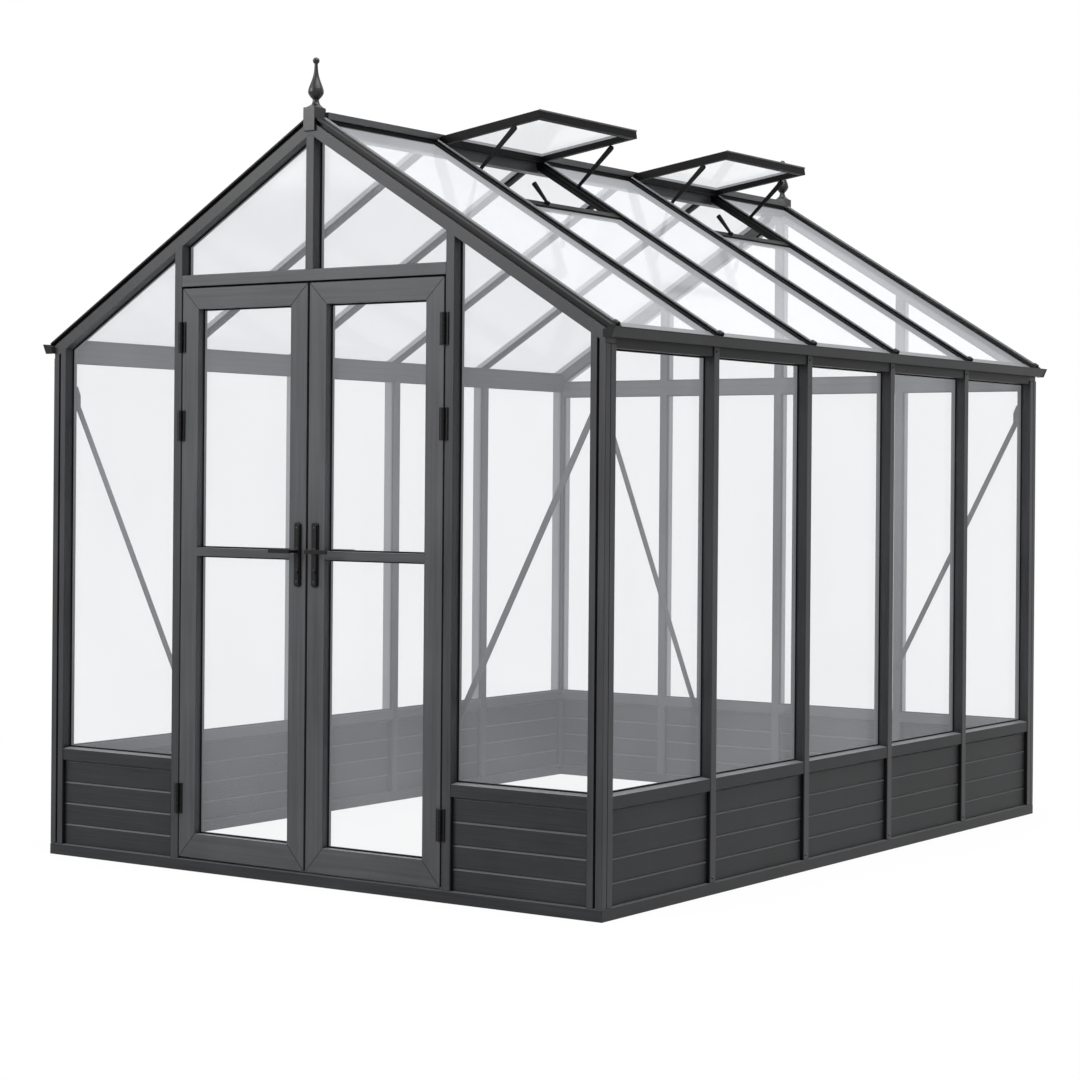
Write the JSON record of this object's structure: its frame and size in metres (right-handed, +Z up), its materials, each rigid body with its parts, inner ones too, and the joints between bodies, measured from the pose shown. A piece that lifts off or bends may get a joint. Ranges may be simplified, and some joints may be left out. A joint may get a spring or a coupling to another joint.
{
  "type": "glass greenhouse",
  "caption": "Gable-roofed glass greenhouse with a slotted metal frame, boarded base panels, outward double doors, open ridge vents, gutters and ridge finials.",
  "frame": {"origin": "centre of the overall box on the ground", "axes": "+X to the right seen from the doors, +Y from the door gable to the back gable along the ridge, +Z up"},
  "size_m": [2.562, 3.474, 2.8935],
  "materials": {
    "frame_paint": "satin anthracite powder coat on aluminium",
    "panel_paint": "satin anthracite powder coat on board-profiled aluminium panels",
    "door_paint": "satin anthracite powder coat on aluminium door profiles",
    "glass": "clear toughened glass",
    "fittings": "black satin paint on hinges, handles and stays"
  },
  "bodies": {
    "house": {"gable_base_rails": "frame_paint", "side_base_rails": "frame_paint", "corner_posts": "frame_paint", "side_wall_posts": "frame_paint", "door_posts": "frame_paint", "back_wall_posts": "frame_paint", "gable_dado_rails": "frame_paint", "side_dado_rails": "frame_paint", "gable_panels": "panel_paint", "side_panels": "panel_paint", "door_lintel": "frame_paint", "gable_mullion": "frame_paint", "back_tie_rail": "frame_paint", "eave_beams": "frame_paint", "gutters": "frame_paint", "left_rafters": "frame_paint", "right_rafters": "frame_paint", "ridge_beam": "frame_paint", "roof_bars": "frame_paint", "verge_bars": "frame_paint", "front_glass": "glass", "back_glass": "glass", "left_glass": "glass", "right_glass": "glass", "left_roof_glass": "glass", "right_roof_glass": "glass", "vent_sills": "frame_paint", "vent_frames": "frame_paint", "vent_glass": "glass", "vent_stays": "fittings", "braces": "frame_paint", "finials": "frame_paint", "post_hinges": "fittings"},
    "left_door": {"left_door_stiles": "door_paint", "left_door_rails": "door_paint", "left_door_glass": "glass", "left_door_hinges": "fittings", "left_door_plates": "fittings"},
    "right_door": {"right_door_stiles": "door_paint", "right_door_rails": "door_paint", "right_door_glass": "glass", "right_door_hinges": "fittings", "right_door_plates": "fittings"},
    "left_handle": {"left_lever": "fittings"},
    "right_handle": {"right_lever": "fittings"}
  },
  "joints": [
    {"name": "left_door_hinge", "type": "hinge", "parent": "house", "child": "left_door", "pos_m": [-0.592, -1.686, 1], "axis": [0, 0, -1], "range_deg": [0, 100]},
    {"name": "right_door_hinge", "type": "hinge", "parent": "house", "child": "right_door", "pos_m": [0.592, -1.686, 1], "axis": [0, 0, 1], "range_deg": [0, 100]},
    {"name": "left_lever_turn", "type": "hinge", "parent": "left_door", "child": "left_handle", "pos_m": [-0.039, -1.678, 1.166], "axis": [0, -1, 0], "range_deg": [0, 40], "stiffness_Nm_per_rad": 2, "springref_deg": -20.05},
    {"name": "right_lever_turn", "type": "hinge", "parent": "right_door", "child": "right_handle", "pos_m": [0.039, -1.678, 1.166], "axis": [0, 1, 0], "range_deg": [0, 40], "stiffness_Nm_per_rad": 2, "springref_deg": -20.05}
  ]
}
